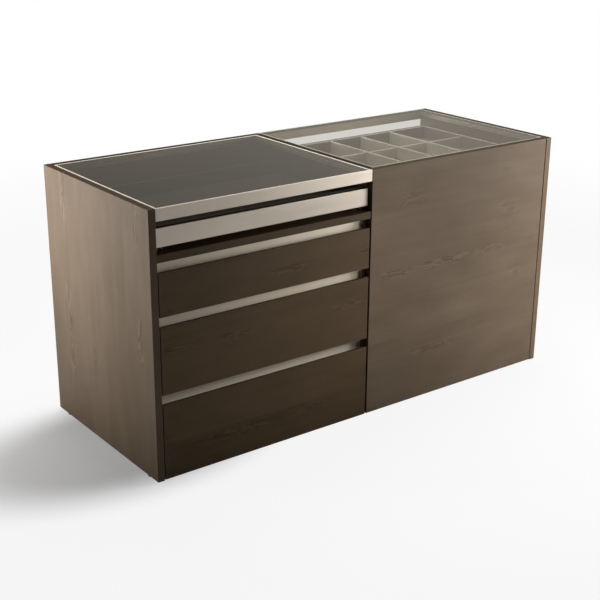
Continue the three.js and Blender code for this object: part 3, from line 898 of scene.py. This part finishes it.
def leather_look(name, colour, pebble_size, top=None):
    """Leather-look covering: pebbles from cell noise, with darker creases and a slow change of tone.

    Faces that look up carry a piping of the top's colour, where there is one.
    """
    f = Finish(name)
    place = f.place()
    pebble = f.cells(place, 1 / pebble_size, "SMOOTH_F1")["Distance"]
    drift = f.noise(place, (9.0, 9.0, 9.0), 3.0)
    fine = f.noise(place, (900.0, 900.0, 900.0), 2.0)
    tone = f.total((0.9, drift), (0.5, fine), (-0.35, pebble), 0.65)
    covering = f.shades(tone, colour, *LEATHER_SHADES)
    if top:
        upward = f.step(f.normal_parts()["z"], *PIPING_FACING)
        covering = f.mix("RGBA", upward, covering, f.shades(tone, top, *LEATHER_SHADES))
    f.colour(covering)
    f.set("Roughness", f.total((0.2, pebble), (0.2, fine), 0.5))
    f.set("Specular IOR Level", 0.2)
    f.bump(f.total((-1.0, pebble), (0.3, fine)), 0.0002)
    return f.material


def woven_board(name, colour):
    """Melamine with a linen grain: threads both ways, each a row of noise stretched along it."""
    f = Finish(name)
    place = f.place()
    warp = f.noise(place, (700.0, 14.0, 14.0), 2.0)
    weft = f.noise(place, (14.0, 700.0, 700.0), 2.0)
    drift = f.noise(place, (5.0, 5.0, 5.0), 3.0)
    f.colour(f.shades(f.total((0.75, warp), (0.75, weft), (0.6, drift), 0.5), colour, 0.84, 1.14))
    f.set("Roughness", f.total((0.2, warp), (0.2, weft), 0.62))
    f.set("Specular IOR Level", 0.35)
    f.bump(f.total(warp, weft), 0.00012)
    return f.material


def felt(name, colour, nap, sheen):
    """Pressed felt: short fibres from noise pulled two ways, with soft clouds of tone."""
    f = Finish(name)
    place = f.place()
    long_fibres = f.noise(place, (240.0, 900.0, 500.0), 3.0, 1.5)
    cross_fibres = f.noise(place, (900.0, 240.0, 500.0), 3.0, 1.5)
    clouds = f.noise(place, (14.0, 14.0, 14.0), 3.0)
    tone = f.total((0.8, long_fibres), (0.8, cross_fibres), (0.7, clouds), 0.5)
    f.colour(f.shades(tone, colour, 0.78, 1.22))
    f.set("Roughness", f.total((0.15, long_fibres), 0.93))
    f.set("Specular IOR Level", 0.15)
    f.set("Sheen Weight", sheen)
    f.set("Sheen Roughness", 0.5)
    f.bump(f.total(long_fibres, cross_fibres), nap)
    return f.material


def felt_mat(side, material):
    """Felt mat: a rounded rectangle drawn in to its middle, below, round its soft edge, and above.

    A point is the middle plus a share of the way to the outline. The share goes up to 1 on the underside,
    stays near it along a half circle for the edge, and goes back to 0 on the top, whose height waves by
    a product of two slow sines.
    """
    node = f"tray_mat_{side}"
    low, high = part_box(node)
    middle = np.array((low.x + high.x, low.y + high.y)) / 2
    outline = rounded_rectangle(low, high, 0.0, MAT_CORNER, MAT_CORNER_STEPS)
    sides = np.roll(outline, -1, axis=0)
    t = np.linspace(0.0, 1.0, MAT_SIDE_STEPS, endpoint=False)[None, :, None]
    ring = (outline[:, None] * (1 - t) + sides[:, None] * t).reshape(-1, 2)
    radius = (high.z - low.z) / 2
    inward = np.linspace(1.0, 0.0, MAT_RINGS, endpoint=False)
    rise = np.linspace(-math.pi / 2, math.pi / 2, MAT_EDGE_STEPS)
    reach = np.abs(ring - middle).max(axis=1)
    edge = 1 - radius * (1 - np.cos(rise))[:, None] / reach[None, :]
    inner = edge[-1][None, :] * inward[1:, None]
    shares = np.concatenate([inner[::-1], edge, inner])
    flat_rings = np.ones(len(inner))
    levels = np.concatenate([flat_rings * low.z, low.z + radius * (1 + np.sin(rise)), flat_rings * high.z])
    flat = middle + shares[:, :, None] * (ring - middle)[None, :, :]
    wave = MAT_WAVE * (1 + np.sin(flat * MAT_WAVE_TURNS).prod(axis=-1)) / 2
    upper = (np.arange(len(levels)) >= len(inner) + MAT_EDGE_STEPS)[:, None]
    heights = levels[:, None] - wave * upper
    places = np.concatenate([flat, heights[..., None]], axis=-1).reshape(-1, 3)
    rows, columns = shares.shape
    faces = grid_faces(rows, columns)
    last = (rows - 1) * columns
    faces += [list(range(columns)), list(range(last, last + columns))]
    made = piece(f"felt_mat_{side}", places, faces, material, f"tray_{side}", MAT_SMOOTH_ANGLE)
    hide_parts(node)


class ISLAND_OT_linings(bpy.types.Operator):
    """Lines the drawer boxes and the trays"""

    bl_idname = "island.linings"
    bl_label = "Boxes and trays"

    def execute(self, context):
        settings = context.scene.island.lining
        woven = woven_board("linen_grain_board", settings.box)
        dress("tray_dividers_right", leather_look("divider_covering", settings.divider, DIVIDER_PEBBLE))
        # The open tray's near-black covering and felt are painted shade
        covers = {"left": (settings.open_tray_painted_shade, None), "right": (settings.tray, settings.divider)}
        felts = {"left": settings.open_felt_painted_shade, "right": settings.felt}
        for side in SIDES:
            colour, top = covers[side]
            dress(f"tray_box_{side}", leather_look(f"tray_covering_{side}", colour, TRAY_PEBBLE, top))
            felt_mat(side, felt(f"felt_{side}", felts[side], settings.felt_nap, FELT_SHEEN[side]))
            for level in LEVELS:
                dress(f"drawer_{level}_box_{side}", woven)
        return {"FINISHED"}


# Runners and feet

# Zinc spangles per metre, and the colour of the glides
SPANGLES = 260.0
GLIDE_BLACK = (0.018, 0.017, 0.016)
HEAD_STEPS = 32
TINY = 0.000001
# Cross recess: its arm's length and half width as shares of the head's radius
CROSS_SHARES = (0.52, 0.13)
# Rings of a head: each one's share of the radius and of the height, and whether it follows the cross
HEAD_RINGS = (
    (0.0, 0.0, False), (0.95, 0.0, False), (1.0, 0.16, False), (0.99, 0.45, False), (0.93, 0.72, False),
    (0.8, 0.9, False), (0.62, 1.0, False), (1.0, 1.0, True), (0.8, 0.45, True), (0.0, 0.45, False))
# Heads as radius and height, and where the screws sit on the runners and the drawer boxes
SEAT_PLAY = 0.00005
RUNNER_HEAD = (0.0042, 0.0016)
RUNNER_SHEET = 0.002
RUNNER_SCREW_SHARES = (0.07, 0.33, 0.63, 0.93)
FLANGE_SCREW_RISE = 0.012
FRONT_HEAD = (0.0046, 0.0022)
BOX_WALL = 0.016
BOX_FLOOR_TOP = 0.021
FRONT_SCREW_INSET = 0.018
FRONT_SCREW_SHARES = (0.1, 0.5, 0.9)


def plated_steel(name, colour, roughness):
    """Zinc-plated steel: soft spangles from cell noise over rolled streaks."""
    f = Finish(name)
    place = f.place()
    spangle = f.parts(f.cells(place, SPANGLES, "F1")["Color"])["x"]
    streak = f.noise(place, (500.0, 8.0, 500.0), 2.0)
    f.colour(f.shades(f.total((0.35, spangle), (0.7, streak), 0.3), colour, 0.86, 1.1))
    f.set("Metallic", 1.0)
    f.set("Roughness", f.total((0.12, spangle), (0.15, streak), roughness))
    f.bump(f.total(streak, (0.3, spangle)), 0.00004)
    return f.material


def moulded_plastic(name, colour):
    """Moulded plastic with a fine eroded grain."""
    f = Finish(name)
    grain = f.noise(f.place(), (1400.0, 1400.0, 1400.0), 2.0)
    slow = f.noise(f.place(), (60.0, 60.0, 60.0), 2.0)
    f.colour(f.shades(f.total((0.6, grain), (0.6, slow), 0.5), colour, 0.8, 1.3))
    f.set("Roughness", f.total((0.3, grain), 0.6))
    f.bump(grain, 0.00006)
    return f.material


def screw_heads(name, seats, axis, sense, size, material, body):
    """Pan heads with a cross recess, one at each seat, standing out along an axis in the given sense.

    Each head is a set of rings round that axis, each at a share of the head's radius and height. The two
    rings of the recess follow a cross: in the direction with cosine c and sine s its outline lies at the
    larger of min(arm/|c|, half/|s|) and min(half/|c|, arm/|s|), for the arm's length and half width.
    """
    radius, height = size
    turn = np.linspace(0.0, 2 * math.pi, HEAD_STEPS, endpoint=False)
    cosine, sine = np.abs(np.cos(turn)) + TINY, np.abs(np.sin(turn)) + TINY
    arm, half = CROSS_SHARES
    cross = np.maximum(np.minimum(arm / cosine, half / sine), np.minimum(half / cosine, arm / sine))
    shares, levels, crossed = (np.array(column)[:, None] for column in zip(*HEAD_RINGS))
    reach = radius * np.where(crossed, cross[None, :] * shares, shares)
    rings = (reach * np.cos(turn), reach * np.sin(turn), levels * height * np.ones_like(reach))
    up = "xyz".index(axis)
    flat = [i for i in range(3) if i != up]
    head = np.zeros((*reach.shape, 3))
    head[..., flat[0]], head[..., flat[1]], head[..., up] = rings[0], rings[1], rings[2] * sense
    places = np.array(seats)[:, None, None, :] + head[None]
    faces = np.array(grid_faces(*reach.shape))
    every = (faces[None] + np.arange(len(seats))[:, None, None] * reach.size).reshape(-1, 4)
    piece(name, places.reshape(-1, 3), every.tolist(), material, body)


def runner_screws(unit, side, place, material):
    """Screws through a runner's flange into the board beside it."""
    low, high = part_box(f"{unit}_runner_{side}_{place}")
    sense = 1.0 if (place == "end") == (side == "left") else -1.0
    face = low.x + RUNNER_SHEET if sense > 0 else high.x - RUNNER_SHEET
    seats = [(face + sense * SEAT_PLAY, low.y + (high.y - low.y) * share, low.z + FLANGE_SCREW_RISE)
             for share in RUNNER_SCREW_SHARES]
    screw_heads(
        f"{unit}_runner_screws_{side}_{place}", seats, "x", sense, RUNNER_HEAD, material, "root")


def front_screws(level, side, material):
    """Screws through the front wall of a drawer box into the drawer front."""
    low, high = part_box(f"drawer_{level}_box_{side}")
    sense = INWARD[side]
    face = open_and_back(side, low, high)[0] + sense * BOX_WALL
    rows = (low.z + BOX_FLOOR_TOP + FRONT_SCREW_INSET, high.z - FRONT_SCREW_INSET)
    seats = [(low.x + (high.x - low.x) * share, face + sense * SEAT_PLAY, row)
             for share in FRONT_SCREW_SHARES for row in rows]
    screw_heads(
        f"drawer_{level}_front_screws_{side}", seats, "y", sense, FRONT_HEAD, material,
        f"drawer_{level}_{side}")


class ISLAND_OT_hardware(bpy.types.Operator):
    """Finishes the runners and the feet, and adds the screws"""

    bl_idname = "island.hardware"
    bl_label = "Runners and feet"

    def execute(self, context):
        settings = context.scene.island.metal
        zinc = plated_steel("plated_steel", settings.steel, settings.steel_roughness)
        black = moulded_plastic("black_glide", GLIDE_BLACK)
        for side in SIDES:
            for unit in UNITS:
                for place in RUNNER_PLACES:
                    dress(f"{unit}_runner_{side}_{place}", zinc)
                    runner_screws(unit, side, place, zinc)
            for level in LEVELS:
                front_screws(level, side, zinc)
        for row in ("front", "rear"):
            for column in ("left", "middle", "right"):
                dress(f"foot_{row}_{column}", black)
        return {"FINISHED"}


# Add-on


class ISLAND_PT_panel(bpy.types.Panel):
    """Lists the steps that dress the island"""

    bl_idname = "ISLAND_PT_panel"
    bl_label = "Closet island"
    bl_space_type = "VIEW_3D"
    bl_region_type = "UI"
    bl_category = "Island"

    def draw(self, context):
        for step in STEPS:
            self.layout.operator(step.bl_idname)
        island = context.scene.island
        for group in (island.veneer, island.metal, island.glass, island.lining, island.stage):
            box = self.layout.box()
            for name in group.bl_rna.properties.keys():
                if name not in ("rna_type", "name"):
                    box.prop(group, name)


STEPS = (
    ISLAND_OT_stage,
    ISLAND_OT_boards,
    ISLAND_OT_metalwork,
    ISLAND_OT_glass,
    ISLAND_OT_linings,
    ISLAND_OT_hardware,
)
CLASSES = (
    VeneerSettings,
    MetalSettings,
    GlassSettings,
    LiningSettings,
    StageSettings,
    IslandSettings,
    *STEPS,
    ISLAND_PT_panel,
)


def register():
    for part in CLASSES:
        bpy.utils.register_class(part)
    bpy.types.Scene.island = PointerProperty(type=IslandSettings)


def unregister():
    del bpy.types.Scene.island
    for part in reversed(CLASSES):
        bpy.utils.unregister_class(part)


def main():
    register()
    for step in STEPS:
        group, name = step.bl_idname.split(".")
        getattr(getattr(bpy.ops, group), name)()


if __name__ == "__main__":
    main()
